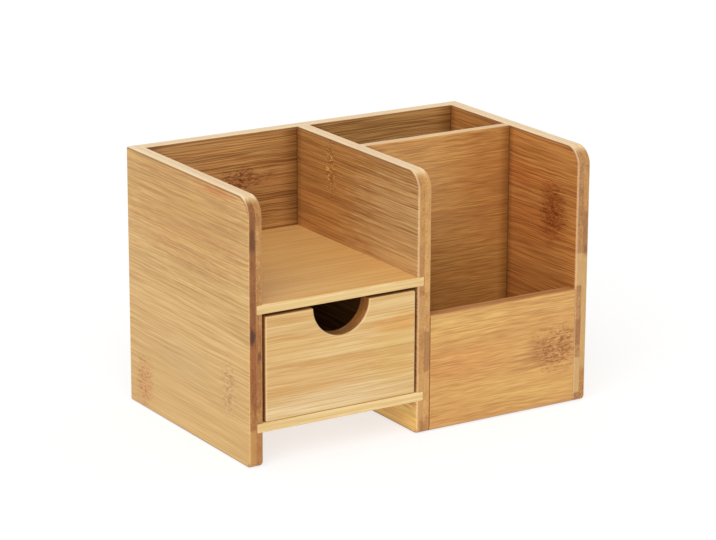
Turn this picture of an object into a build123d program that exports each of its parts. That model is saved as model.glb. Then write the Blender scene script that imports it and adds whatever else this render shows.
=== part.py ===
from build123d import *
import os

# Bamboo drawer organizer for a desk.
# A note tray over a small drawer stands on the left, two pen bays one behind the other on the right.
# Millimetres, +Z up. The origin is the middle of the footprint on the table top.
# The open front faces -Y and the drawer is on the -X side.

os.makedirs("parts", exist_ok=True)

# Upright boards
panel_height = 140.0
panel_thickness = 8.0
front_corner_radius = 10.0
front_foot_radius = 3.0
edge_radius = 1.2

# Clear spaces between the boards
drawer_bay_width = 92.0
pen_bay_width = 92.0
front_pen_bay_depth = 55.0
rear_pen_bay_depth = 51.0

# Cross boards
back_thickness = 8.0
partition_thickness = 6.0
pen_front_thickness = 8.0
pen_front_height = 63.0

# Shelves, let into dados in the upright boards
shelf_thickness = 5.0
drawer_shelf_height = 18.0
drawer_bay_height = 57.0
pen_floor_thickness = 5.0
pen_floor_height = 3.0
dado_depth = 3.5
thin_edge_radius = 0.5

# Drawer
drawer_side_gap = 1.4
drawer_top_gap = 1.5
drawer_front_thickness = 8.0
drawer_front_corner_radius = 1.2
drawer_front_edge_radius = 1.0
drawer_wall_thickness = 5.0
drawer_wall_height = 50.0
drawer_back_setback = 3.0
drawer_bottom_thickness = 3.0
drawer_bottom_height = 3.0
groove_depth = 2.5

# Finger notch in the drawer's front
notch_radius = 16.5
notch_corner_radius = 0.8

# Blind dowels in the butt joints
dowel_radius = 2.0
thin_dowel_radius = 1.5
dowel_face_depth = 4.0
dowel_end_depth = 10.0
dowel_chamfer = 0.4
glue_gap = 0.05
hole_end_gap = 0.4

# A rounded edge takes at most this share of the board it is on
largest_edge_share = 0.4

# Overall size
overall_width = 3 * panel_thickness + drawer_bay_width + pen_bay_width
pen_bays_depth = front_pen_bay_depth + partition_thickness + rear_pen_bay_depth
inner_depth = pen_front_thickness + pen_bays_depth
overall_depth = inner_depth + back_thickness

# Faces across the width
left_x = -overall_width / 2
left_inner_x = left_x + panel_thickness
divider_left_x = left_inner_x + drawer_bay_width
divider_right_x = divider_left_x + panel_thickness
divider_middle_x = divider_left_x + panel_thickness / 2
right_inner_x = divider_right_x + pen_bay_width

# Faces from front to back
front_y = -overall_depth / 2
pen_front_back_y = front_y + pen_front_thickness
partition_front_y = pen_front_back_y + front_pen_bay_depth
partition_back_y = partition_front_y + partition_thickness
back_inner_y = front_y + inner_depth
back_y = back_inner_y + back_thickness

# Faces from the table up
drawer_shelf_top = drawer_shelf_height + shelf_thickness
note_shelf_bottom = drawer_shelf_top + drawer_bay_height
note_shelf_top = note_shelf_bottom + shelf_thickness
pen_floor_top = pen_floor_height + pen_floor_thickness

# Faces of the drawer
drawer_left_x = left_inner_x + drawer_side_gap
drawer_right_x = divider_left_x - drawer_side_gap
drawer_middle_x = (drawer_left_x + drawer_right_x) / 2
drawer_left_inner_x = drawer_left_x + drawer_wall_thickness
drawer_right_inner_x = drawer_right_x - drawer_wall_thickness
drawer_front_back_y = front_y + drawer_front_thickness
drawer_back_rear_y = back_inner_y - drawer_back_setback
drawer_back_front_y = drawer_back_rear_y - drawer_wall_thickness
drawer_front_top = note_shelf_bottom - drawer_top_gap
drawer_wall_top = drawer_shelf_top + drawer_wall_height
drawer_bottom_low = drawer_shelf_top + drawer_bottom_height
drawer_bottom_top = drawer_bottom_low + drawer_bottom_thickness

# Dowel heights: clear of the dados, two to each joint
drawer_bay_middle = drawer_shelf_top + drawer_bay_height / 2
note_tray_middle = (note_shelf_top + panel_height) / 2
upright_dowel_heights = (drawer_bay_middle, note_tray_middle)
pen_front_dowel_heights = (drawer_shelf_height / 2, (drawer_shelf_top + pen_front_height) / 2)
drawer_wall_quarter = (drawer_wall_top - drawer_bottom_top) / 4
drawer_dowel_heights = (drawer_bottom_top + drawer_wall_quarter, drawer_wall_top - drawer_wall_quarter)


def soft(radius, wall):
    """The radius of a rounded edge on a board of this thickness."""
    return min(radius, wall * largest_edge_share)


def block(low, high, mode=Mode.ADD):
    """A rectangular block between two corners, added to or cut from the piece being built."""
    size = [b - a for a, b in zip(low, high)]
    middle = [(a + b) / 2 for a, b in zip(low, high)]
    with Locations(tuple(middle)):
        Box(*size, mode=mode)


def seams(x_y, heights):
    """Points on a butt joint, one at each height."""
    return [(x_y[0], x_y[1], height) for height in heights]


def pins(points, direction, radius):
    """Dowels across a butt joint. Direction points into the board whose end is butted."""
    length = dowel_face_depth + dowel_end_depth
    into_end = Vector(*direction) * ((dowel_end_depth - dowel_face_depth) / 2)
    for point in points:
        with Locations(Plane(origin=Vector(*point) + into_end, z_dir=direction)):
            Cylinder(radius, length)


def pin_holes(points, direction, radius):
    """The blind holes that the dowels of the same joint are glued into."""
    length = dowel_face_depth + dowel_end_depth + 2 * hole_end_gap
    into_end = Vector(*direction) * ((dowel_end_depth - dowel_face_depth) / 2)
    for point in points:
        with Locations(Plane(origin=Vector(*point) + into_end, z_dir=direction)):
            Cylinder(radius + glue_gap, length, mode=Mode.SUBTRACT)


def upright_board(board_left_x, board_depth):
    """A full-height board standing front to back, with its two front corners rounded."""
    with BuildPart() as board:
        with BuildSketch(Plane.YZ.offset(board_left_x)) as outline:
            with Locations((front_y + board_depth / 2, panel_height / 2)):
                Rectangle(board_depth, panel_height)
            front_top = outline.vertices().group_by(Axis.Y)[-1].sort_by(Axis.X)[0]
            fillet(front_top, front_corner_radius)
            front_foot = outline.vertices().group_by(Axis.Y)[0].sort_by(Axis.X)[0]
            fillet(front_foot, front_foot_radius)
        extrude(amount=panel_thickness)
    return board.part


# Butt joints: the points where the dowels cross them
back_middle_y = back_inner_y + back_thickness / 2
partition_middle_y = partition_front_y + partition_thickness / 2
pen_front_middle_y = front_y + pen_front_thickness / 2
back_left_joint = seams((left_inner_x, back_middle_y), upright_dowel_heights)
back_right_joint = seams((right_inner_x, back_middle_y), upright_dowel_heights)
divider_joint = seams((divider_middle_x, back_inner_y), upright_dowel_heights)
partition_left_joint = seams((divider_right_x, partition_middle_y), upright_dowel_heights)
partition_right_joint = seams((right_inner_x, partition_middle_y), upright_dowel_heights)
pen_front_left_joint = seams((divider_right_x, pen_front_middle_y), pen_front_dowel_heights)
pen_front_right_joint = seams((right_inner_x, pen_front_middle_y), pen_front_dowel_heights)
drawer_left_wall_x = drawer_left_x + drawer_wall_thickness / 2
drawer_right_wall_x = drawer_right_x - drawer_wall_thickness / 2
drawer_left_joint = seams((drawer_left_wall_x, drawer_front_back_y), drawer_dowel_heights)
drawer_right_joint = seams((drawer_right_wall_x, drawer_front_back_y), drawer_dowel_heights)
to_left = (-1, 0, 0)
to_right = (1, 0, 0)
to_front = (0, -1, 0)
to_back = (0, 1, 0)

# Frame of full-height boards, rounded over after it is glued up, so the edges run on across the joints
left_blank = upright_board(left_x, overall_depth)
divider_blank = upright_board(divider_left_x, inner_depth)
right_blank = upright_board(right_inner_x, overall_depth)
thinnest_upright = min(panel_thickness, back_thickness, partition_thickness)
with BuildPart() as frame:
    add(left_blank)
    add(divider_blank)
    add(right_blank)
    block((left_inner_x, back_inner_y, 0), (right_inner_x, back_y, panel_height))
    block(
        (divider_right_x, partition_front_y, pen_floor_top),
        (right_inner_x, partition_back_y, panel_height),
    )
    inner_corners = edges().filter_by(lambda edge: edge.is_interior)
    partition_foot = edges().filter_by_position(Axis.Z, pen_floor_top, pen_floor_top)
    fillet(edges() - inner_corners - partition_foot, soft(edge_radius, thinnest_upright))
rounded_frame = frame.part

# Left side panel
with BuildPart() as left_side_panel:
    add(rounded_frame)
    block((left_x, front_y, 0), (left_inner_x, back_y, panel_height), mode=Mode.INTERSECT)
    for shelf_low in (drawer_shelf_height, note_shelf_bottom):
        block(
            (left_inner_x - dado_depth, front_y, shelf_low),
            (left_inner_x, back_inner_y, shelf_low + shelf_thickness),
            mode=Mode.SUBTRACT,
        )
    pin_holes(back_left_joint, to_right, dowel_radius)
left_side_panel.part.label = "left_side_panel"
export_step(left_side_panel.part, "parts/left_side_panel.step")

# Centre divider: its back end is butted against the back panel
with BuildPart() as center_divider:
    add(rounded_frame)
    block(
        (divider_left_x, front_y, 0),
        (divider_right_x, back_inner_y, panel_height),
        mode=Mode.INTERSECT,
    )
    for shelf_low in (drawer_shelf_height, note_shelf_bottom):
        block(
            (divider_left_x, front_y, shelf_low),
            (divider_left_x + dado_depth, back_inner_y, shelf_low + shelf_thickness),
            mode=Mode.SUBTRACT,
        )
    block(
        (divider_right_x - dado_depth, pen_front_back_y, pen_floor_height),
        (divider_right_x, back_inner_y, pen_floor_top),
        mode=Mode.SUBTRACT,
    )
    pin_holes(divider_joint, to_front, dowel_radius)
    pin_holes(partition_left_joint, to_right, thin_dowel_radius)
    pin_holes(pen_front_left_joint, to_right, dowel_radius)
center_divider.part.label = "center_divider"
export_step(center_divider.part, "parts/center_divider.step")

# Right side panel
with BuildPart() as right_side_panel:
    add(rounded_frame)
    block(
        (right_inner_x, front_y, 0),
        (right_inner_x + panel_thickness, back_y, panel_height),
        mode=Mode.INTERSECT,
    )
    block(
        (right_inner_x, pen_front_back_y, pen_floor_height),
        (right_inner_x + dado_depth, back_inner_y, pen_floor_top),
        mode=Mode.SUBTRACT,
    )
    pin_holes(back_right_joint, to_left, dowel_radius)
    pin_holes(partition_right_joint, to_left, thin_dowel_radius)
    pin_holes(pen_front_right_joint, to_left, dowel_radius)
right_side_panel.part.label = "right_side_panel"
export_step(right_side_panel.part, "parts/right_side_panel.step")

# Back panel: one board between the two side panels
with BuildPart() as back_panel:
    add(rounded_frame)
    block(
        (left_inner_x, back_inner_y, 0),
        (right_inner_x, back_y, panel_height),
        mode=Mode.INTERSECT,
    )
    pin_holes(back_left_joint, to_right, dowel_radius)
    pin_holes(back_right_joint, to_left, dowel_radius)
    pin_holes(divider_joint, to_front, dowel_radius)
back_panel.part.label = "back_panel"
export_step(back_panel.part, "parts/back_panel.step")

# Note shelf: floor of the note tray, its front edge flush with the panels
with BuildPart() as note_shelf:
    block(
        (left_inner_x - dado_depth, front_y, note_shelf_bottom),
        (divider_left_x + dado_depth, back_inner_y, note_shelf_top),
    )
    front_edges = edges().filter_by(Axis.X).group_by(Axis.Y)[0]
    fillet(front_edges, soft(thin_edge_radius, shelf_thickness))
note_shelf.part.label = "note_shelf"
export_step(note_shelf.part, "parts/note_shelf.step")

# Drawer shelf: the drawer slides on it, raised off the table
with BuildPart() as drawer_shelf:
    block(
        (left_inner_x - dado_depth, front_y, drawer_shelf_height),
        (divider_left_x + dado_depth, back_inner_y, drawer_shelf_top),
    )
    front_edges = edges().filter_by(Axis.X).group_by(Axis.Y)[0]
    fillet(front_edges, soft(thin_edge_radius, shelf_thickness))
drawer_shelf.part.label = "drawer_shelf"
export_step(drawer_shelf.part, "parts/drawer_shelf.step")

# Pen floor: bottom of both pen bays
with BuildPart() as pen_floor:
    block(
        (divider_right_x - dado_depth, pen_front_back_y, pen_floor_height),
        (right_inner_x + dado_depth, back_inner_y, pen_floor_top),
    )
pen_floor.part.label = "pen_floor"
export_step(pen_floor.part, "parts/pen_floor.step")

# Pen partition: full-height cross board between the two pen bays
with BuildPart() as pen_partition:
    add(rounded_frame)
    block(
        (divider_right_x, partition_front_y, pen_floor_top),
        (right_inner_x, partition_back_y, panel_height),
        mode=Mode.INTERSECT,
    )
    pin_holes(partition_left_joint, to_right, thin_dowel_radius)
    pin_holes(partition_right_joint, to_left, thin_dowel_radius)
pen_partition.part.label = "pen_partition"
export_step(pen_partition.part, "parts/pen_partition.step")

# Pen front panel: low board that closes the front pen bay down to the table
with BuildPart() as pen_front_panel:
    block((divider_right_x, front_y, 0), (right_inner_x, pen_front_back_y, pen_front_height))
    top_edges = edges().filter_by(Axis.X).group_by(Axis.Z)[-1]
    fillet(top_edges, soft(edge_radius, pen_front_thickness))
    rear_foot = edges().filter_by(Axis.X).group_by(Axis.Z)[0].sort_by(Axis.Y)[-1]
    fillet(rear_foot, soft(edge_radius, pen_front_thickness))
    front_foot = edges().filter_by(Axis.X).group_by(Axis.Z)[0].sort_by(Axis.Y)[0]
    fillet(front_foot, soft(front_foot_radius, pen_front_thickness))
    pin_holes(pen_front_left_joint, to_right, dowel_radius)
    pin_holes(pen_front_right_joint, to_left, dowel_radius)
pen_front_panel.part.label = "pen_front_panel"
export_step(pen_front_panel.part, "parts/pen_front_panel.step")

# Drawer front: half-round finger notch in the top edge, groove for the bottom behind
with BuildPart() as drawer_front:
    with BuildSketch(Plane.XZ.offset(-front_y)) as front_outline:
        front_size = (drawer_right_x - drawer_left_x, drawer_front_top - drawer_shelf_top)
        front_middle = (drawer_middle_x, (drawer_shelf_top + drawer_front_top) / 2)
        with Locations(front_middle):
            Rectangle(*front_size)
        fillet(front_outline.vertices(), drawer_front_corner_radius)
        with Locations((drawer_middle_x, drawer_front_top)):
            Circle(notch_radius, mode=Mode.SUBTRACT)
        top_corners = front_outline.vertices().group_by(Axis.Y)[-1].sort_by(Axis.X)
        fillet(top_corners[1:3], notch_corner_radius)
    extrude(amount=-drawer_front_thickness)
    front_face = faces().sort_by(Axis.Y)[0]
    fillet(front_face.edges(), soft(drawer_front_edge_radius, drawer_front_thickness))
    block(
        (drawer_left_inner_x - groove_depth, drawer_front_back_y - groove_depth, drawer_bottom_low),
        (drawer_right_inner_x + groove_depth, drawer_front_back_y, drawer_bottom_top),
        mode=Mode.SUBTRACT,
    )
    pin_holes(drawer_left_joint, to_back, thin_dowel_radius)
    pin_holes(drawer_right_joint, to_back, thin_dowel_radius)
drawer_front.part.label = "drawer_front"
export_step(drawer_front.part, "parts/drawer_front.step")

# Drawer left side: groove for the bottom, dado for the back board
with BuildPart() as drawer_left_side:
    block(
        (drawer_left_x, drawer_front_back_y, drawer_shelf_top),
        (drawer_left_inner_x, back_inner_y, drawer_wall_top),
    )
    top_edges = edges().filter_by(Axis.Y).group_by(Axis.Z)[-1]
    fillet(top_edges, soft(thin_edge_radius, drawer_wall_thickness))
    block(
        (drawer_left_inner_x - groove_depth, drawer_front_back_y, drawer_bottom_low),
        (drawer_left_inner_x, back_inner_y, drawer_bottom_top),
        mode=Mode.SUBTRACT,
    )
    block(
        (drawer_left_inner_x - groove_depth, drawer_back_front_y, drawer_bottom_top),
        (drawer_left_inner_x, drawer_back_rear_y, drawer_wall_top),
        mode=Mode.SUBTRACT,
    )
    pin_holes(drawer_left_joint, to_back, thin_dowel_radius)
drawer_left_side.part.label = "drawer_left_side"
export_step(drawer_left_side.part, "parts/drawer_left_side.step")

# Drawer right side
with BuildPart() as drawer_right_side:
    block(
        (drawer_right_inner_x, drawer_front_back_y, drawer_shelf_top),
        (drawer_right_x, back_inner_y, drawer_wall_top),
    )
    top_edges = edges().filter_by(Axis.Y).group_by(Axis.Z)[-1]
    fillet(top_edges, soft(thin_edge_radius, drawer_wall_thickness))
    block(
        (drawer_right_inner_x, drawer_front_back_y, drawer_bottom_low),
        (drawer_right_inner_x + groove_depth, back_inner_y, drawer_bottom_top),
        mode=Mode.SUBTRACT,
    )
    block(
        (drawer_right_inner_x, drawer_back_front_y, drawer_bottom_top),
        (drawer_right_inner_x + groove_depth, drawer_back_rear_y, drawer_wall_top),
        mode=Mode.SUBTRACT,
    )
    pin_holes(drawer_right_joint, to_back, thin_dowel_radius)
drawer_right_side.part.label = "drawer_right_side"
export_step(drawer_right_side.part, "parts/drawer_right_side.step")

# Drawer back: stands on the bottom, its ends in the sides' dados
with BuildPart() as drawer_back:
    block(
        (drawer_left_inner_x - groove_depth, drawer_back_front_y, drawer_bottom_top),
        (drawer_right_inner_x + groove_depth, drawer_back_rear_y, drawer_wall_top),
    )
    top_edges = edges().filter_by(Axis.X).group_by(Axis.Z)[-1]
    fillet(top_edges, soft(thin_edge_radius, drawer_wall_thickness))
drawer_back.part.label = "drawer_back"
export_step(drawer_back.part, "parts/drawer_back.step")

# Drawer bottom: thin sheet in the grooves of the front and sides, running under the back
with BuildPart() as drawer_bottom:
    block(
        (drawer_left_inner_x - groove_depth, drawer_front_back_y - groove_depth, drawer_bottom_low),
        (drawer_right_inner_x + groove_depth, drawer_back_rear_y, drawer_bottom_top),
    )
drawer_bottom.part.label = "drawer_bottom"
export_step(drawer_bottom.part, "parts/drawer_bottom.step")

# Dowels between the back panel and the side panels
with BuildPart() as back_panel_dowels:
    pins(back_left_joint, to_right, dowel_radius)
    pins(back_right_joint, to_left, dowel_radius)
    chamfer(edges().filter_by(GeomType.CIRCLE), dowel_chamfer)
back_panel_dowels.part.label = "back_panel_dowels"
export_step(back_panel_dowels.part, "parts/back_panel_dowels.step")

# Dowels between the back panel and the divider
with BuildPart() as divider_dowels:
    pins(divider_joint, to_front, dowel_radius)
    chamfer(edges().filter_by(GeomType.CIRCLE), dowel_chamfer)
divider_dowels.part.label = "divider_dowels"
export_step(divider_dowels.part, "parts/divider_dowels.step")

# Dowels between the partition and the boards beside it
with BuildPart() as partition_dowels:
    pins(partition_left_joint, to_right, thin_dowel_radius)
    pins(partition_right_joint, to_left, thin_dowel_radius)
    chamfer(edges().filter_by(GeomType.CIRCLE), dowel_chamfer)
partition_dowels.part.label = "partition_dowels"
export_step(partition_dowels.part, "parts/partition_dowels.step")

# Dowels between the pen front panel and the boards beside it
with BuildPart() as pen_front_dowels:
    pins(pen_front_left_joint, to_right, dowel_radius)
    pins(pen_front_right_joint, to_left, dowel_radius)
    chamfer(edges().filter_by(GeomType.CIRCLE), dowel_chamfer)
pen_front_dowels.part.label = "pen_front_dowels"
export_step(pen_front_dowels.part, "parts/pen_front_dowels.step")

# Dowels between the drawer's front and its sides
with BuildPart() as drawer_front_dowels:
    pins(drawer_left_joint, to_back, thin_dowel_radius)
    pins(drawer_right_joint, to_back, thin_dowel_radius)
    chamfer(edges().filter_by(GeomType.CIRCLE), dowel_chamfer)
drawer_front_dowels.part.label = "drawer_front_dowels"
export_step(drawer_front_dowels.part, "parts/drawer_front_dowels.step")
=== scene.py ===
import math
from dataclasses import dataclass

import bpy
from mathutils import Matrix, Vector


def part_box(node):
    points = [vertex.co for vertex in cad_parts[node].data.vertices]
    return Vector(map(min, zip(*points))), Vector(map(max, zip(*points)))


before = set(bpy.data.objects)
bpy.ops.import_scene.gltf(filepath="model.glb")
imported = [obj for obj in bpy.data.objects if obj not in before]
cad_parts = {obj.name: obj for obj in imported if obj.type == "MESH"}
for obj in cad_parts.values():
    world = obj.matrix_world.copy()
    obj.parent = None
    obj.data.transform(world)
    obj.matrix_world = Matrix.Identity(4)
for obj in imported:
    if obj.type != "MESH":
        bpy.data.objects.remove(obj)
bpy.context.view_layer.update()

# Bamboo drawer organizer: the boards come from the frame, and this script gives them their finish.
# Places and lengths are millimetres of the frame, and MM turns them into metres.
MM_PER_METRE = 1000.0
MM = 1.0 / MM_PER_METRE
AXES = "XYZ"

# Camera at the photograph's viewpoint
CAMERA_PLACE = Vector((-785.2, -1247.6, 502.1)) * MM
CAMERA_AZIMUTH = math.radians(-32.18)
CAMERA_ELEVATION = math.radians(16.247)
CAMERA_ROLL = math.radians(0.244)
CAMERA_LENS = 145.29
CAMERA_SENSOR = 36.0
CAMERA_FAR = 50000.0 * MM

# Floor and light
FLOOR_HALF = 6000.0 * MM
FLOOR_DROP = 0.1 * MM
FLOOR_LIT_GREY = 0.46
FLOOR_LIT_GLOW = 0.44
FLOOR_SHOWN_GREY = 0.40
FLOOR_SHOWN_GLOW = 0.69
SKY_LIT = 0.56
SKY_SHOWN = 1.0
KEY_STRENGTH = 1.54
KEY_SOFTNESS = math.radians(60)
KEY_FROM = Vector((-0.54, -0.61, 0.58))

# The two faces and plies of a board, by the end of its depth axis that they lie at
LOW = -1
HIGH = 1


def srgb(red, green, blue):
    """A colour picked on the 0 to 255 scale, as the linear values that a shader takes."""
    linear = []
    for value in (red, green, blue):
        share = value / 255
        linear.append(share / 12.92 if share <= 0.04045 else ((share + 0.055) / 1.055) ** 2.4)
    return (*linear, 1.0)


def grey(value):
    """A linear grey."""
    return (value, value, value, 1.0)


def middle_colour(pale, deep):
    """The colour halfway between a pale and a deep one."""
    return tuple((a + b) / 2 for a, b in zip(pale, deep))


# Pairs of a pale and a deep colour
HONEY = (srgb(234, 192, 120), srgb(189, 137, 52))
STRAW = (srgb(229, 189, 119), srgb(188, 138, 58))
GOLD = (srgb(230, 180, 104), srgb(182, 123, 57))
OLIVE = (srgb(204, 158, 94), srgb(138, 91, 43))
AMBER = (srgb(208, 154, 92), srgb(144, 88, 42))
CHESTNUT = (srgb(204, 150, 84), srgb(141, 86, 38))
WHEAT = (srgb(228, 186, 118), srgb(199, 149, 76))
# UMBER, for the drawer's box, is darkened a little as painted shade inside the closed drawer.
UMBER = (srgb(194, 142, 84), srgb(134, 84, 42))
TAN = (srgb(218, 161, 86), srgb(165, 105, 47))
RUSSET = (srgb(217, 151, 79), srgb(152, 86, 36))
CREAM = (srgb(233, 201, 140), srgb(204, 155, 86))
SHELF_TOP = (srgb(244, 208, 140), srgb(220, 174, 100))
NOTE_TOP = (srgb(243, 198, 124), srgb(228, 173, 98))
# EDGE and EDGE_TAN colour the boards' top edges: paler than the faces partly as the flanks' own wood, partly
# as a painted highlight of the light from above.
EDGE = (srgb(255, 228, 180), srgb(236, 194, 136))
EDGE_TAN = (srgb(246, 206, 148), srgb(222, 172, 112))
# EDGE_BROWN is darker; on the pen front panel's top edge it is painted shade where pens stand in the bay.
EDGE_BROWN = (srgb(210, 154, 98), srgb(174, 118, 68))
EDGE_DARK = (srgb(172, 122, 74), srgb(136, 90, 50))
EDGE_SHELF = (srgb(244, 215, 154), srgb(220, 180, 114))
END_DARK = (srgb(186, 126, 64), srgb(130, 77, 32))
END_MID = (srgb(210, 156, 88), srgb(160, 106, 52))
END_DUSKY = (srgb(204, 150, 92), srgb(150, 100, 56))
END_LIGHT = (srgb(222, 170, 100), srgb(182, 127, 66))

# Single colours
WARM = srgb(216, 146, 78)
BARK = srgb(136, 84, 40)
# Painted shade for the long arrises
ARRIS_SHADE = srgb(118, 70, 28)
# Painted highlight, with paler sanded wood, for the arrises beside the end grain
RIM_HIGHLIGHT = srgb(246, 212, 164)
# Painted shade for the edges that face down
UNDERSIDE_SHADE = srgb(144, 94, 48)
SEAM = srgb(76, 42, 20)
PALE_STROKE = srgb(232, 190, 132)

# What painted shade in a corner between boards multiplies a colour by, and the palest that a tint may make
# one
CORNER_SHADE = (0.60, 0.52, 0.40)
PALEST = 0.94


class Graph:
    """Adds shader nodes to a tree. A value may be a number, a tuple or another node's output."""

    COLUMNS = 12
    COLUMN_STEP = 180
    ROW_STEP = -220
    NOISE_REACH = 0.25

    def __init__(self, owner):
        """The owner is a material or a world, which loses the nodes that it came with."""
        owner.use_nodes = True
        self.tree = owner.node_tree
        self.tree.nodes.clear()
        self.made = 0

    def node(self, kind, **settings):
        made = self.tree.nodes.new(kind)
        row, column = divmod(self.made, self.COLUMNS)
        made.location = (self.COLUMN_STEP * column, self.ROW_STEP * row)
        self.made += 1
        for name, value in settings.items():
            setattr(made, name, value)
        return made

    def feed(self, socket, value):
        if isinstance(value, bpy.types.NodeSocket):
            self.tree.links.new(value, socket)
        else:
            socket.default_value = value

    def feed_all(self, node, values):
        """Feeds a node's inputs in their order and gives its first output."""
        for socket, value in zip(node.inputs, values):
            self.feed(socket, value)
        return node.outputs[0]

    def math(self, operation, first, second=0.0, clamp=False):
        made = self.node("ShaderNodeMath", operation=operation, use_clamp=clamp)
        return self.feed_all(made, (first, second))

    def add(self, first, second):
        return self.math("ADD", first, second)

    def times(self, first, second):
        return self.math("MULTIPLY", first, second)

    def size(self, value):
        return self.math("ABSOLUTE", value)

    def centred(self, value):
        """A value from 0 to 1, moved to lie around 0."""
        return self.add(value, -0.5)

    def offset(self, value, middle, half):
        """How far a value is from a middle, as a share of half a width."""
        return self.times(self.add(value, -middle), 1.0 / half)

    def from_half(self, value):
        """How far a value is from halfway between two whole numbers: 0.5 at each of them."""
        return self.size(self.centred(self.math("FRACT", value)))

    def vector_math(self, operation, first, second):
        return self.feed_all(self.node("ShaderNodeVectorMath", operation=operation), (first, second))

    def split(self, vector):
        made = self.node("ShaderNodeSeparateXYZ")
        self.feed(made.inputs[0], vector)
        return list(made.outputs)

    def join(self, x, y, z):
        return self.feed_all(self.node("ShaderNodeCombineXYZ"), (x, y, z))

    def distance(self, across, upward):
        made = self.node("ShaderNodeVectorMath", operation="LENGTH")
        self.feed(made.inputs[0], self.join(across, upward, 0.0))
        return made.outputs["Value"]

    def noise(self, place, lengths, detail=2, roughness=0.5, distortion=0.0, run=1.0, coarse=1.0):
        """Noise around 0.5, with grains of three lengths: the first times run, the others times coarse."""
        made = self.node("ShaderNodeTexNoise")
        stretched = (lengths[0] * run, lengths[1] * coarse, lengths[2] * coarse)
        rates = tuple(1.0 / length for length in stretched)
        self.feed(made.inputs["Vector"], self.vector_math("MULTIPLY", place, rates))
        self.feed(made.inputs["Scale"], 1.0)
        self.feed(made.inputs["Detail"], detail)
        self.feed(made.inputs["Roughness"], roughness)
        self.feed(made.inputs["Distortion"], distortion)
        return made.outputs["Fac"]

    def swing(self, noise, amount):
        """Noise around 0.5 turned into plus or minus the amount, roughly."""
        stretch = amount / self.NOISE_REACH
        made = self.node("ShaderNodeMath", operation="MULTIPLY_ADD")
        return self.feed_all(made, (noise, stretch, -0.5 * stretch))

    def random(self, place):
        made = self.node("ShaderNodeTexWhiteNoise", noise_dimensions="3D")
        self.feed(made.inputs["Vector"], place)
        return self.split(made.outputs["Color"])

    def step(self, value, start, end):
        """A smooth step from 0 at start to 1 at end. Start may be above end."""
        made = self.node("ShaderNodeMapRange", interpolation_type="SMOOTHSTEP")
        self.feed(made.inputs["Value"], value)
        self.feed(made.inputs["From Min"], min(start, end))
        self.feed(made.inputs["From Max"], max(start, end))
        self.feed(made.inputs["To Min"], 0.0 if start < end else 1.0)
        self.feed(made.inputs["To Max"], 1.0 if start < end else 0.0)
        return made.outputs["Result"]

    def blend(self, share, first, second):
        """Two colours mixed. The node's colour sockets are its inputs 6 and 7 and its output 2."""
        made = self.node("ShaderNodeMix", data_type="RGBA")
        self.feed(made.inputs["Factor"], share)
        self.feed(made.inputs[6], first)
        self.feed(made.inputs[7], second)
        return made.outputs[2]

    def scaled(self, share, colour, ratio):
        """A colour that is multiplied by a ratio in this share, and never paler than the palest."""
        product = self.vector_math("MULTIPLY", colour, ratio)
        return self.blend(share, colour, self.vector_math("MINIMUM", product, (PALEST,) * 3))

    def shifted(self, share, colour, usual, wanted):
        """A colour that is changed by as much as would turn the usual one into the wanted one."""
        return self.scaled(share, colour, tuple(new / old for new, old in zip(wanted[:3], usual[:3])))


@dataclass(frozen=True)
class Look:
    """How one board's grain shows. All but the last three values are factors on the usual grain."""

    fine: float = 1.0  # contrast from fibre to fibre
    broad: float = 1.0  # contrast from band to band and from strip to strip
    warm: float = 1.0  # amount of warm colour
    lines: float = 1.0  # strength of the dark and the pale lines
    coarse: float = 1.0  # width of the fibres
    run: float = 1.0  # length of the fibres
    waves: float = 0.6  # millimetres that the fibres wander to either side
    rim: float = 0.35  # share of painted highlight, with paler sanded wood, on the arrises beside the end grain
    outline: float = 0.0  # share of painted shade, as a dark line, on the long arrises


@dataclass(frozen=True)
class Mark:
    """A patch on one face of a board: calmer grain, a tint, or a knuckle where the stem had a node.

    The place and the half sizes are along the grain and across it. Tint and curls are a share and a
    colour each.
    """

    place: tuple
    half_sizes: tuple
    face: int = LOW
    calm: float = 0.0
    tint: tuple = None
    dark_curls: tuple = None
    pale_curls: tuple = None


@dataclass(frozen=True)
class EndMark:
    """A tint on a board's end grain: a soft spot or a whole strip.

    Across is a place of the frame, and depth is counted from the middle of the board. The half sizes
    are in the same order.
    """

    across: float
    depth: float
    half_sizes: tuple
    share: float
    colour: tuple
    strip: bool = False


@dataclass(frozen=True)
class Corner:
    """Painted shade on a face of a board, darkest in the corner where the low or high face of a neighbour
    meets it.
    """

    neighbour: str
    neighbour_face: int
    face: int
    reach: float
    strength: float


def face_place(node, axis, face):
    """Where the low or the high face of a board lies on an axis."""
    low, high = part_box(node)
    corner = high if face == HIGH else low
    return corner[AXES.index(axis)] * MM_PER_METRE


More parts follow.
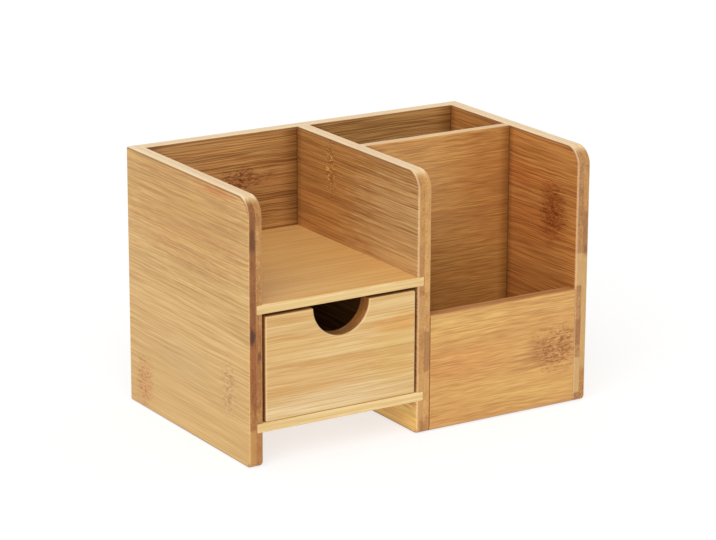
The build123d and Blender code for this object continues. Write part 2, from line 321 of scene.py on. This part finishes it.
class Wood:
    """Laminated bamboo in the making for one board, with the layers of its grain as sockets.

    The fibres run along one axis, and strips lie side by side along another, in two plies. A pair
    called a step says at which value a layer begins to show and at which it shows in full.
    """

    # How far each seed moves the grain, and its strips as a share of their width
    SEED_ALONG = 311.0
    SEED_SIDE = 47.0
    SEED_DEPTH = 13.0
    SEED_STRIPS = 0.37

    # Strips and plies. The second ply's strips are moved by a share of their width
    STRIP_WIDTH = 20.0
    JOINT_HALF = 0.30
    PLIES = 2
    PLY_STRIPS = 0.43
    PLY_BLUR = 0.1

    # Noise: lengths of its grains along, across and through the board
    BEND = {"lengths": (75, 24, 24), "detail": 1}
    RIPPLE = {"lengths": (13, 6, 6), "detail": 0}
    BAND = {"lengths": (170, 5.5, 5.5)}
    STREAK = {"lengths": (130, 1.0, 1.0), "detail": 1}
    FIBRE = {"lengths": (40, 0.46, 0.46), "detail": 1}
    LINE = {"lengths": (66, 0.62, 0.62), "detail": 1}
    CROWD = {"lengths": (75, 5, 5), "detail": 1}
    GLOW = {"lengths": (80, 3.2, 3.2)}
    CURL = {"lengths": (4.4, 1.6, 1.6), "detail": 1, "distortion": 0.7}
    CURL_GAP = {"lengths": (3.2, 1.6, 1.6), "detail": 1}
    MARK_RAG = {"lengths": (10, 1.3, 1.3)}
    MARK_STREAK = {"lengths": (30, 1.0, 1.0)}
    END_DOT = {"lengths": (1, 1.5, 0.9)}
    END_CLOUD = {"lengths": (1, 6.0, 1.7), "detail": 3, "roughness": 0.6}

    # Steps of the grain, and the ripples' share of the bends
    STREAK_STEP = (0.34, 0.66)
    FIBRE_STEP = (0.36, 0.64)
    GLOW_STEP = (0.5, 0.75)
    DARK_LINE_STEP = (0.54, 0.66)
    CROWDED_STEP = (0.34, 0.58)
    PALE_LINE_STEP = (0.46, 0.34)
    SPARSE_STEP = (0.66, 0.42)
    RIPPLE_SHARE = 0.35

    # Faces: the usual tone between deep and pale, how far each layer moves it, and shares of colours
    FACE_TONE = 0.55
    FACE_BAND = 0.22
    FACE_STREAK = 0.13
    FACE_FIBRE = 0.20
    FACE_STRIP = 0.20
    STRIP_WARMTH = 0.12
    GLOW_WARMTH = 0.26
    LINE_DEEP = 0.50
    LINE_BARK = 0.20
    LINE_PALE = 0.50
    JOINT_BARK = 0.18

    # Marks on the faces
    MARK_STEP = (1.0, 0.25)
    MARK_RAGGED = 0.34
    TINT_STREAKY = 0.4
    TINT_STREAK_STEP = (0.34, 0.60)
    CURL_TURNS = 3.0
    CURL_GAP_STEP = (0.40, 0.56)
    DARK_CURL_STEP = (0.28, 0.10)
    PALE_CURL_STEP = (0.34, 0.46)

    # Glue lines in the corners
    SEAM_STEP = (0.8, 0.3)
    SEAM_SHARE = 0.45

    # Flanks: tone as above, and the line between the plies, whose step is in shares of the thickness
    FLANK_TONE = 0.55
    FLANK_BAND = 0.15
    FLANK_STREAK = 0.16
    FLANK_FIBRE = 0.14
    PLY_LINE_STEP = (0.26, 0.06)
    PLY_LINE_SHARE = 0.55

    # End grain: tone as above, and its marks
    END_TONE = 0.5
    END_DOTS = 0.34
    END_CLOUDS = 0.34
    END_STRIP = 0.36
    SPOT_STEP = (1.0, 0.35)
    SPOT_RAGGED = 0.25
    STRIP_STEP = (1.04, 0.92)
    STRIP_RAGGED = 0.05

    # Steps in how much of the surface's normal points through the board, along its grain and across it,
    # and for the painted shade on the underside, in how far it points up
    FLANK_STEP = (0.74, 0.50)
    END_STEP = (0.30, 0.80)
    UNDERSIDE_SHADE_STEP = (0.0, -0.5)
    OUTLINE_THROUGH_STEPS = ((0.60, 0.78), (0.9995, 0.985))
    OUTLINE_ACROSS_STEP = (0.02, 0.12)
    RIM_THROUGH_STEPS = ((0.15, 0.50), (0.995, 0.92))
    RIM_ALONG_STEP = (0.05, 0.30)

    # Lacquer
    BUMP_SHARE = 0.25
    BUMP_STRENGTH = 0.30
    BUMP_HEIGHT = 0.05 * MM
    ROUGHNESS = 0.46
    ROUGHNESS_SWING = 0.02
    END_ROUGHNESS = 0.12
    SPECULAR = 0.30
    COAT = 0.35
    COAT_ROUGHNESS = 0.32
    COAT_IOR = 1.5

    def __init__(self, node, grain, across, seed, look):
        low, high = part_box(node)
        through = (set(AXES) - {grain, across}).pop()
        self.node, self.grain, self.across = node, grain, across
        self.seed, self.look = seed, look
        self.material = bpy.data.materials.new(node)
        g = self.g = Graph(self.material)
        texture = g.node("ShaderNodeTexCoord")
        place = g.vector_math("MULTIPLY", texture.outputs["Object"], (MM_PER_METRE,) * 3)
        places = dict(zip(AXES, g.split(place)))
        facings = dict(zip(AXES, g.split(texture.outputs["Normal"])))
        self.along, self.side, self.depth = places[grain], places[across], places[through]
        self.endwise = g.size(facings[grain])
        self.sidewise = g.size(facings[across])
        self.flatness = g.size(facings[through])
        self.upward = facings["Z"]
        self.ended = g.step(self.endwise, *self.END_STEP)

        self.low_side = low[AXES.index(across)] * MM_PER_METRE
        self.low_depth = low[AXES.index(through)] * MM_PER_METRE
        self.thickness = (high - low)[AXES.index(through)] * MM_PER_METRE
        self.middle = self.low_depth + 0.5 * self.thickness
        self.high_half = g.step(self.depth, self.middle - self.PLY_BLUR, self.middle + self.PLY_BLUR)
        self.halves = {HIGH: self.high_half, LOW: g.math("SUBTRACT", 1.0, self.high_half)}
        self.lay_fibres()
        self.lay_strips()
        self.layer_grain()

    def lay_fibres(self):
        """The fibres wander a little off the straight."""
        g, waves = self.g, self.look.waves
        along = g.add(self.along, self.SEED_ALONG * self.seed)
        seed_side = self.SEED_SIDE * self.seed
        straight = g.join(along, g.add(self.side, seed_side), self.depth)
        bend = g.swing(g.noise(straight, **self.BEND), waves)
        ripple = g.swing(g.noise(straight, **self.RIPPLE), self.RIPPLE_SHARE * waves)
        self.bent_side = g.add(self.side, g.add(bend, ripple))
        self.fibres = g.join(along, g.add(self.bent_side, seed_side), self.depth)

    def lay_strips(self):
        """Each strip of each ply has its own tone and warmth, and a thin joint to the next."""
        g = self.g
        ply = g.math("FLOOR", g.times(g.add(self.depth, -self.low_depth), self.PLIES / self.thickness))
        count = g.times(g.add(self.bent_side, -self.low_side), 1.0 / self.STRIP_WIDTH)
        count = g.add(g.add(count, g.times(ply, self.PLY_STRIPS)), self.SEED_STRIPS * self.seed)
        draws = g.random(g.join(g.math("FLOOR", count), ply, float(self.seed)))
        self.own_tone, self.own_warmth = draws[:2]
        self.joint = g.step(g.from_half(count), 0.5 - self.JOINT_HALF / self.STRIP_WIDTH, 0.5)

    def layer_grain(self):
        """Layers from broad soft bands to single bundles of fibres."""
        g, run, coarse = self.g, self.look.run, self.look.coarse
        self.band = g.noise(self.fibres, **self.BAND)
        self.streak = g.step(g.noise(self.fibres, **self.STREAK, run=run, coarse=coarse), *self.STREAK_STEP)
        self.fibre = g.step(g.noise(self.fibres, **self.FIBRE, run=run, coarse=coarse), *self.FIBRE_STEP)
        line = g.noise(self.fibres, **self.LINE, run=run)
        crowd = g.noise(self.fibres, **self.CROWD)
        self.dark_line = g.times(g.step(line, *self.DARK_LINE_STEP), g.step(crowd, *self.CROWDED_STEP))
        self.pale_line = g.times(g.step(line, *self.PALE_LINE_STEP), g.step(crowd, *self.SPARSE_STEP))
        self.glow = g.step(g.noise(self.fibres, **self.GLOW), *self.GLOW_STEP)

    def toned(self, tone, pairs):
        """The colour of a tone between deep and pale, from the pair of the low or of the high half."""
        g = self.g
        (low_pale, low_deep), (high_pale, high_deep) = pairs
        pale = g.blend(self.high_half, low_pale, high_pale)
        deep = g.blend(self.high_half, low_deep, high_deep)
        return g.blend(tone, deep, pale), pale, deep

    def face_colour(self, faces):
        """The grain of the two faces."""
        g, look = self.g, self.look
        tone = g.swing(self.band, self.FACE_BAND * look.broad)
        tone = g.add(tone, g.swing(self.streak, self.FACE_STREAK * look.fine))
        tone = g.add(tone, g.swing(self.fibre, self.FACE_FIBRE * look.fine))
        tone = g.add(tone, g.times(g.centred(self.own_tone), self.FACE_STRIP * look.broad))
        tone = g.math("ADD", tone, self.FACE_TONE, clamp=True)
        colour, pale, deep = self.toned(tone, faces)
        strip_warmth = g.times(self.own_warmth, self.STRIP_WARMTH * look.warm)
        warmth = g.add(strip_warmth, g.times(self.glow, self.GLOW_WARMTH * look.warm))
        colour = g.blend(warmth, colour, WARM)
        colour = g.blend(g.times(self.dark_line, self.LINE_DEEP * look.lines), colour, deep)
        colour = g.blend(g.times(self.dark_line, self.LINE_BARK * look.lines), colour, BARK)
        colour = g.blend(g.times(self.pale_line, self.LINE_PALE * look.lines), colour, pale)
        return g.blend(g.times(self.joint, self.JOINT_BARK), colour, BARK)

    def with_marks(self, colour, marks, faces):
        """Areas with calmer grain or a tint, and the curled strokes of the knuckles."""
        if not marks:
            return colour
        g = self.g
        phase = g.from_half(g.times(g.noise(self.fibres, **self.CURL), self.CURL_TURNS))
        unbroken = g.step(g.noise(self.fibres, **self.CURL_GAP), *self.CURL_GAP_STEP)
        dark_curls = g.times(g.step(phase, *self.DARK_CURL_STEP), unbroken)
        pale_curls = g.step(phase, *self.PALE_CURL_STEP)
        ragged = g.swing(g.noise(self.fibres, **self.MARK_RAG), self.MARK_RAGGED)
        streaky = g.step(g.noise(self.fibres, **self.MARK_STREAK), *self.TINT_STREAK_STEP)
        usual_colours = {LOW: middle_colour(*faces[0]), HIGH: middle_colour(*faces[1])}
        for mark in marks:
            off_along = g.offset(self.along, mark.place[0], mark.half_sizes[0])
            off_side = g.offset(self.side, mark.place[1], mark.half_sizes[1])
            inside = g.step(g.add(g.distance(off_along, off_side), ragged), *self.MARK_STEP)
            inside = g.times(inside, self.halves[mark.face])
            usual = usual_colours[mark.face]
            if mark.calm:
                colour = g.blend(g.times(inside, mark.calm), colour, usual)
            if mark.tint:
                share, wanted = mark.tint
                even = (1.0 - self.TINT_STREAKY) * share
                uneven = g.times(streaky, self.TINT_STREAKY * share)
                colour = g.shifted(g.times(inside, g.add(even, uneven)), colour, usual, wanted)
            for curls, stroke in ((dark_curls, mark.dark_curls), (pale_curls, mark.pale_curls)):
                if stroke:
                    share, wanted = stroke
                    colour = g.blend(g.times(inside, g.times(curls, share)), colour, wanted)
        return colour

    def with_corner_shade(self, colour, corners):
        """Painted shade darkens each face towards the corners where boards meet, and a thin glue line runs
        in each.
        """
        g = self.g
        for corner in corners:
            place = face_place(corner.neighbour, self.grain, corner.neighbour_face)
            off = g.size(g.add(self.along, -place))
            strength = g.times(corner.strength, self.halves[corner.face])
            colour = g.scaled(g.times(g.step(off, corner.reach, 0.0), strength), colour, CORNER_SHADE)
            seam = g.times(g.step(off, *self.SEAM_STEP), g.times(strength, self.SEAM_SHARE))
            colour = g.blend(seam, colour, SEAM)
        return colour

    def flank_colour(self, edge):
        """The strips' flanks, which the long edges show, with a darker line between the plies, and painted
        shade on those that face down.
        """
        g = self.g
        pale, deep = edge
        tone = g.add(g.swing(self.streak, self.FLANK_STREAK), g.swing(self.fibre, self.FLANK_FIBRE))
        tone = g.math("ADD", tone, self.FLANK_TONE, clamp=True)
        tone = g.math("ADD", tone, g.swing(self.band, self.FLANK_BAND), clamp=True)
        off_middle = g.size(g.add(self.depth, -self.middle))
        between_plies = g.step(off_middle, *(share * self.thickness for share in self.PLY_LINE_STEP))
        colour = g.blend(tone, deep, pale)
        colour = g.blend(g.times(between_plies, self.PLY_LINE_SHARE), colour, deep)
        # Painted shade on the flanks that face down.
        if self.across == "Z":
            colour = g.blend(g.step(self.upward, *self.UNDERSIDE_SHADE_STEP), colour, UNDERSIDE_SHADE)
        return colour

    def end_colour(self, end, end_marks):
        """End grain: cut bundles as fine dots, in strips and plies of their own tone."""
        g = self.g
        dots = g.noise(g.join(0.0, self.side, self.depth), **self.END_DOT)
        seeded_depth = g.add(self.depth, self.SEED_DEPTH * self.seed)
        cloud = g.noise(g.join(0.0, self.side, seeded_depth), **self.END_CLOUD)
        tone = g.add(g.swing(dots, self.END_DOTS), g.swing(cloud, self.END_CLOUDS))
        tone = g.add(tone, g.times(g.centred(self.own_tone), self.END_STRIP))
        tone = g.math("ADD", tone, self.END_TONE, clamp=True)
        colour, _, _ = self.toned(tone, end)
        for mark in end_marks:
            off_side = g.offset(self.side, mark.across, mark.half_sizes[0])
            off_depth = g.offset(self.depth, self.middle + mark.depth, mark.half_sizes[1])
            if mark.strip:
                off = g.math("MAXIMUM", g.size(off_side), g.size(off_depth))
                inside = g.step(g.add(off, g.swing(cloud, self.STRIP_RAGGED)), *self.STRIP_STEP)
            else:
                off = g.distance(off_side, off_depth)
                inside = g.step(g.add(off, g.swing(cloud, self.SPOT_RAGGED)), *self.SPOT_STEP)
            colour = g.blend(g.times(inside, mark.share), colour, mark.colour)
        return colour

    def with_edges(self, colour, flank_colour, end_colour):
        """Flanks and end grain go where the board faces sideways or along its grain."""
        g = self.g
        edge_colour = g.blend(self.ended, flank_colour, end_colour)
        return g.blend(g.step(self.flatness, *self.FLANK_STEP), colour, edge_colour)

    def arris(self, through_steps, facing, facing_step):
        """1 on the rounded arrises beside one kind of edge, and 0 on the flat faces and edges."""
        g = self.g
        off_edge, off_face = (g.step(self.flatness, *step) for step in through_steps)
        return g.times(g.times(off_edge, off_face), g.step(facing, *facing_step))

    def with_arrises(self, colour):
        """Painted shade as a darker line on the long arrises, and a painted highlight with paler sanded wood
        on those beside the end grain.
        """
        g, look = self.g, self.look
        # Painted shade as a dark line on the long arrises.
        if look.outline:
            arris = self.arris(self.OUTLINE_THROUGH_STEPS, self.sidewise, self.OUTLINE_ACROSS_STEP)
            colour = g.blend(g.times(arris, look.outline), colour, ARRIS_SHADE)
        # Painted highlight, with paler sanded wood, on the arrises beside the end grain.
        arris = self.arris(self.RIM_THROUGH_STEPS, self.endwise, self.RIM_ALONG_STEP)
        return g.blend(g.times(arris, look.rim), colour, RIM_HIGHLIGHT)

    def lacquer(self, colour):
        """Satin lacquer over the fibres, a little duller on the end grain."""
        g = self.g
        bump = g.node("ShaderNodeBump")
        height = g.add(g.times(self.fibre, self.BUMP_SHARE), g.times(self.streak, self.BUMP_SHARE))
        dullness = g.add(self.ROUGHNESS, g.times(self.ended, self.END_ROUGHNESS))
        shader = g.node("ShaderNodeBsdfPrincipled")
        output = g.node("ShaderNodeOutputMaterial")
        sockets = [
            (bump, "Height", height),
            (bump, "Strength", self.BUMP_STRENGTH),
            (bump, "Distance", self.BUMP_HEIGHT),
            (shader, "Base Color", colour),
            (shader, "Roughness", g.add(g.swing(self.fibre, self.ROUGHNESS_SWING), dullness)),
            (shader, "Normal", bump.outputs["Normal"]),
            (shader, "Specular IOR Level", self.SPECULAR),
            (shader, "Coat Weight", self.COAT),
            (shader, "Coat Roughness", self.COAT_ROUGHNESS),
            (shader, "Coat IOR", self.COAT_IOR),
            (output, "Surface", shader.outputs["BSDF"]),
        ]
        for node, name, value in sockets:
            g.feed(node.inputs[name], value)
        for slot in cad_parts[self.node].material_slots:
            slot.material = self.material


def bamboo(node, grain, across, seed, faces, edge=EDGE, end=(END_MID, END_MID), look=Look(),
           marks=(), end_marks=(), corners=()):
    """Finishes one board. Faces and end have a pair of colours for the low half and one for the high."""
    wood = Wood(node, grain, across, seed, look)
    colour = wood.face_colour(faces)
    colour = wood.with_marks(colour, marks, faces)
    colour = wood.with_corner_shade(colour, corners)
    colour = wood.with_edges(colour, wood.flank_colour(edge), wood.end_colour(end, end_marks))
    colour = wood.with_arrises(colour)
    wood.lacquer(colour)


def end_strip(across, ply, half_length, share, colour):
    """An end mark that fills one ply of an 8 mm board over a length."""
    ply_middle = 2.2
    ply_half = 2.2
    return EndMark(across, ply * ply_middle, (half_length, ply_half), share, colour, strip=True)


def knuckle(place, half_sizes, tint, dark_curls, pale_curls=(0.30, PALE_STROKE), face=LOW):
    """A mark with curled strokes, where the stem had a node."""
    return Mark(place, half_sizes, face, tint=tint, dark_curls=dark_curls, pale_curls=pale_curls)


def left_side_panel():
    """Straw outside, browner above and with two knuckles below, and amber inside."""
    marks = [
        Mark((0, 16), (120, 52), calm=0.42),
        Mark((0, 122), (110, 50), tint=(0.85, srgb(191, 136, 54))),
        Mark((-34, 136.6), (28, 3.6), tint=(1.0, srgb(210, 148, 70))),
        Mark((5, 38), (36, 15), tint=(0.45, srgb(206, 170, 112))),
        knuckle((47, 15), (12, 19), (0.85, srgb(206, 144, 68)), (0.65, srgb(152, 80, 8))),
        knuckle((-43, 37), (11, 20), (0.45, srgb(206, 164, 98)), (0.60, srgb(154, 98, 30))),
    ]
    end_marks = [
        end_strip(100, LOW, 38, 0.50, srgb(124, 66, 28)),
        EndMark(52, -0.6, (34, 7.5), 0.50, srgb(138, 66, 16)),
        EndMark(69, -2.3, (5.5, 2.6), 0.90, srgb(70, 34, 16)),
        EndMark(58, 1.8, (4, 1.6), 0.70, srgb(104, 48, 26)),
        EndMark(118, -2.4, (9, 2.6), 0.65, srgb(84, 42, 14)),
        end_strip(6, LOW, 14, 0.60, srgb(206, 154, 88)),
        end_strip(6, HIGH, 14, 0.45, srgb(166, 108, 52)),
    ]
    bamboo("left_side_panel", "Y", "Z", 1, (STRAW, AMBER), end=(END_DARK, END_MID),
           look=Look(fine=0.76, broad=0.42, lines=0.3, coarse=1.4, run=0.85, waves=0.45, rim=0.12,
                     outline=0.55),
           marks=marks, end_marks=end_marks,
           # Painted shade in the inner corner where the back panel meets it.
           corners=[Corner("back_panel", LOW, face=HIGH, reach=6, strength=0.6)])


def center_divider():
    """Chestnut beside the drawer, with a pale chain of curls, a lighter part above, and painted light on the
    lower part under the drawer shelf.
    """
    marks = [
        Mark((-46, 105), (64, 50), tint=(0.90, srgb(192, 154, 103))),
        # Painted light: the lower part under the drawer shelf is pale orange, standing in for light bounced
        # up from the floor.
        Mark((-34, 4), (80, 28), tint=(1.0, srgb(255, 190, 100))),
        knuckle((22, 125), (8, 24), (0.50, srgb(166, 110, 48)), (0.60, srgb(130, 74, 20)),
                (0.85, srgb(236, 188, 120))),
    ]
    end_marks = [
        end_strip(44.5, HIGH, 11, 0.60, srgb(150, 98, 52)),
        end_strip(20, LOW, 13, 0.45, srgb(206, 160, 100)),
        end_strip(92, LOW, 10, 0.40, srgb(172, 118, 66)),
        end_strip(66, LOW, 9, 0.40, srgb(214, 166, 106)),
        EndMark(2, 1, (9, 5), 0.40, srgb(136, 64, 24)),
    ]
    # Painted shade in the corners at the back panel and at the pen partition.
    corners = [Corner("back_panel", LOW, face, reach=6, strength=0.6) for face in (LOW, HIGH)]
    corners += [Corner("pen_partition", side, face=HIGH, reach=5, strength=0.6) for side in (HIGH, LOW)]
    bamboo("center_divider", "Y", "Z", 2, (CHESTNUT, AMBER), end=(END_MID, END_LIGHT),
           look=Look(fine=0.78, broad=0.8, lines=0.75, run=0.85, waves=0.45, outline=0.7),
           marks=marks, end_marks=end_marks, corners=corners)


def right_side_panel():
    """Russet inside with a dark knuckle, and honey outside with a small one."""
    marks = [
        knuckle((-42, 101), (16, 22), (0.90, srgb(143, 68, 21)), (0.72, srgb(96, 44, 8)),
                (0.30, srgb(214, 146, 78))),
        Mark((-14, 116), (44, 9), tint=(0.50, srgb(206, 122, 58))),
        Mark((-30, 90), (44, 16), tint=(0.35, srgb(188, 104, 44))),
        knuckle((20, 30), (9, 13), (0.25, srgb(226, 158, 74)), (0.45, srgb(148, 90, 44)), face=HIGH),
    ]
    end_marks = [
        end_strip(94, HIGH, 11.5, 0.55, srgb(146, 94, 54)),
        EndMark(84, 2.6, (5, 2), 0.50, srgb(110, 64, 34)),
        end_strip(74, LOW, 9, 0.50, srgb(226, 188, 128)),
        end_strip(50, HIGH, 32, 0.60, srgb(210, 172, 112)),
        end_strip(39, LOW, 7, 0.50, srgb(144, 88, 50)),
        end_strip(15, LOW, 10, 0.60, srgb(222, 184, 120)),
    ]
    # Painted shade in the corners at the back panel and at the pen partition.
    corners = [Corner("back_panel", LOW, face=LOW, reach=6, strength=0.7)]
    corners += [Corner("pen_partition", side, face=LOW, reach=5, strength=0.65) for side in (HIGH, LOW)]
    bamboo("right_side_panel", "Y", "Z", 3, (RUSSET, HONEY), end=(END_DUSKY, END_MID),
           look=Look(fine=0.8, broad=0.7, lines=0.8, run=0.75, waves=0.8, outline=0.7),
           marks=marks, end_marks=end_marks, corners=corners)


def back_panel():
    """Olive brown inside, with a dark knuckle above the note tray."""
    marks = [
        Mark((-28, 104), (50, 24), tint=(0.50, srgb(138, 86, 46))),
        knuckle((-40, 115), (21, 8), (0.60, srgb(134, 76, 38)), (0.85, srgb(84, 36, 6)),
                (0.40, srgb(210, 160, 104))),
        Mark((-12, 127), (14, 10), tint=(0.25, srgb(146, 88, 50))),
    ]
    # Painted shade, reaching far, in the corners where the side panels and the divider meet it.
    meeting = [("left_side_panel", HIGH), ("center_divider", LOW), ("center_divider", HIGH),
               ("right_side_panel", LOW)]
    bamboo("back_panel", "X", "Z", 4, (OLIVE, WHEAT),
           look=Look(fine=1.4, broad=0.7, run=0.9, waves=0.5, outline=0.7),
           marks=marks, corners=[Corner(*other, face=LOW, reach=12, strength=1.0) for other in meeting])


def pen_partition():
    """Tan in front, browner towards the right, with short fibres."""
    marks = [
        Mark((22, 118), (48, 28), tint=(0.80, srgb(208, 154, 86))),
        Mark((90, 114), (38, 48), tint=(0.80, srgb(178, 117, 58))),
    ]
    # Painted shade in the corners at the right side panel and at the divider.
    meeting = [("right_side_panel", LOW), ("center_divider", HIGH)]
    corners = [Corner(*other, face, reach=8, strength=1.0) for face in (LOW, HIGH) for other in meeting]
    bamboo("pen_partition", "X", "Z", 5, (TAN, AMBER), EDGE_TAN,
           look=Look(fine=0.66, broad=0.5, warm=0.5, lines=0.5, run=0.35), marks=marks, corners=corners)


def pen_front_panel():
    """Golden, with short fibres and a large knuckle on the right."""
    marks = [
        Mark((24, 34), (44, 12), tint=(0.70, srgb(206, 143, 74))),
        Mark((20, 55), (44, 11), tint=(0.60, srgb(222, 178, 100))),
        Mark((64, 12), (46, 13), tint=(0.60, srgb(212, 168, 92))),
        Mark((76, 30), (22, 11), tint=(0.60, srgb(180, 120, 62))),
        knuckle((85, 33), (20, 18), (0.60, srgb(182, 120, 56)), (0.75, srgb(138, 78, 22)),
                (0.45, srgb(236, 190, 124))),
    ]
    # Its top edge takes the darker EDGE_BROWN: painted shade where pens stand in the bay.
    bamboo("pen_front_panel", "X", "Z", 6, (GOLD, AMBER), EDGE_BROWN,
           look=Look(fine=0.58, broad=0.6, lines=0.30, coarse=1.2, run=0.35, waves=0.7, rim=0.1),
           marks=marks)


def drawer_front():
    """Cream, in broad bands."""
    marks = [
        Mark((-84, 60), (36, 10), tint=(0.75, srgb(212, 166, 98))),
        Mark((-60, 45), (60, 10), tint=(0.75, srgb(212, 164, 98))),
        Mark((-14, 63), (26, 6), tint=(0.80, srgb(222, 164, 90))),
        Mark((-50, 29), (90, 10), tint=(0.60, srgb(228, 198, 150))),
        Mark((-16, 48), (24, 34), tint=(0.90, srgb(214, 171, 98))),
    ]
    bamboo("drawer_front", "X", "Z", 7, (CREAM, HONEY), EDGE_DARK, (END_DARK, END_DARK),
           look=Look(fine=0.65, broad=1.6, warm=0.7, lines=0.5, coarse=1.25, run=0.9, waves=0.35),
           marks=marks)


def plain_boards():
    """The boards without marks: shelves, pen floor, and the drawer's box, which is a little darker with
    painted shade.
    """
    bamboo("note_shelf", "X", "Y", 8, (HONEY, NOTE_TOP), EDGE_SHELF)
    bamboo("drawer_shelf", "X", "Y", 9, (HONEY, SHELF_TOP), EDGE_SHELF)
    bamboo("pen_floor", "X", "Y", 10, (AMBER, AMBER), EDGE_BROWN)
    drawer_box = [
        ("drawer_left_side", "Y", "Z"),
        ("drawer_right_side", "Y", "Z"),
        ("drawer_back", "X", "Z"),
        ("drawer_bottom", "X", "Y"),
    ]
    # The drawer's box is darkened a little with painted shade, as inside the closed drawer.
    for seed, (node, grain, across) in enumerate(drawer_box, start=11):
        bamboo(node, grain, across, seed, (UMBER, UMBER), EDGE_BROWN)


def dowels():
    """The dowels, each group with its grain along the dowels."""
    groups = [
        (20, "X", "back_panel_dowels"),
        (21, "X", "partition_dowels"),
        (22, "X", "pen_front_dowels"),
        (30, "Y", "divider_dowels"),
        (31, "Y", "drawer_front_dowels"),
    ]
    for seed, grain, node in groups:
        bamboo(node, grain, "Z", seed, (HONEY, HONEY))


def show_by_ray(g, lit, shown, output_kind):
    """Rays that show the background get one shader, and those that light the object the other.

    The background shows in rays straight to the camera, in mirrored ones and in ones through glass.
    """
    path = g.node("ShaderNodeLightPath")
    mirrored = g.math("MAXIMUM", path.outputs["Is Glossy Ray"], path.outputs["Is Transmission Ray"])
    showing = g.math("MAXIMUM", path.outputs["Is Camera Ray"], mirrored)
    choice = g.feed_all(g.node("ShaderNodeMixShader"), (showing, lit, shown))
    g.feed(g.node(output_kind).inputs["Surface"], choice)


def glowing(g, value, glow):
    """A dull grey that also gives off light."""
    dull = g.node("ShaderNodeBsdfDiffuse")
    g.feed(dull.inputs["Color"], grey(value))
    emission = g.node("ShaderNodeEmission")
    g.feed(emission.inputs["Strength"], glow)
    return g.feed_all(g.node("ShaderNodeAddShader"), (dull.outputs[0], emission.outputs[0]))


def pale_floor():
    """A pale floor that shows as white and keeps a soft shadow."""
    corners = [(-1, -1), (1, -1), (1, 1), (-1, 1)]
    mesh = bpy.data.meshes.new("floor")
    mesh.from_pydata([(x * FLOOR_HALF, y * FLOOR_HALF, -FLOOR_DROP) for x, y in corners], [], [(0, 1, 2, 3)])
    floor = bpy.data.objects.new("floor", mesh)
    bpy.context.scene.collection.objects.link(floor)
    material = bpy.data.materials.new("floor")
    g = Graph(material)
    lit = glowing(g, FLOOR_LIT_GREY, FLOOR_LIT_GLOW)
    shown = glowing(g, FLOOR_SHOWN_GREY, FLOOR_SHOWN_GLOW)
    show_by_ray(g, lit, shown, "ShaderNodeOutputMaterial")
    mesh.materials.append(material)


def soft_light():
    """An even white sky and one broad lamp from the upper left front."""
    world = bpy.data.worlds.new("studio")
    g = Graph(world)
    skies = []
    for strength in (SKY_LIT, SKY_SHOWN):
        background = g.node("ShaderNodeBackground")
        skies.append(g.feed_all(background, (grey(1.0), strength)))
    show_by_ray(g, *skies, "ShaderNodeOutputWorld")
    bpy.context.scene.world = world

    lamp = bpy.data.lights.new("key", "SUN")
    lamp.energy = KEY_STRENGTH
    lamp.angle = KEY_SOFTNESS
    key = bpy.data.objects.new("key", lamp)
    key.rotation_mode = "QUATERNION"
    key.rotation_quaternion = KEY_FROM.to_track_quat("Z", "Y")
    bpy.context.scene.collection.objects.link(key)


def photograph_camera():
    """The camera, from its azimuth, elevation and roll."""
    back = Vector((
        math.sin(CAMERA_AZIMUTH) * math.cos(CAMERA_ELEVATION),
        -math.cos(CAMERA_AZIMUTH) * math.cos(CAMERA_ELEVATION),
        math.sin(CAMERA_ELEVATION),
    ))
    level = Vector((math.cos(CAMERA_AZIMUTH), math.sin(CAMERA_AZIMUTH), 0.0))
    upright = back.cross(level)
    right = level * math.cos(CAMERA_ROLL) + upright * math.sin(CAMERA_ROLL)
    up = upright * math.cos(CAMERA_ROLL) - level * math.sin(CAMERA_ROLL)
    data = bpy.data.cameras.new("camera")
    data.lens = CAMERA_LENS
    data.sensor_width = CAMERA_SENSOR
    data.clip_end = CAMERA_FAR
    camera = bpy.data.objects.new("camera", data)
    turn = Matrix((right, up, back)).transposed().to_4x4()
    camera.matrix_world = Matrix.Translation(CAMERA_PLACE) @ turn
    bpy.context.scene.collection.objects.link(camera)
    bpy.context.scene.camera = camera


left_side_panel()
center_divider()
right_side_panel()
back_panel()
pen_partition()
pen_front_panel()
drawer_front()
plain_boards()
dowels()
pale_floor()
soft_light()
photograph_camera()
bpy.context.scene.view_settings.view_transform = "Standard"
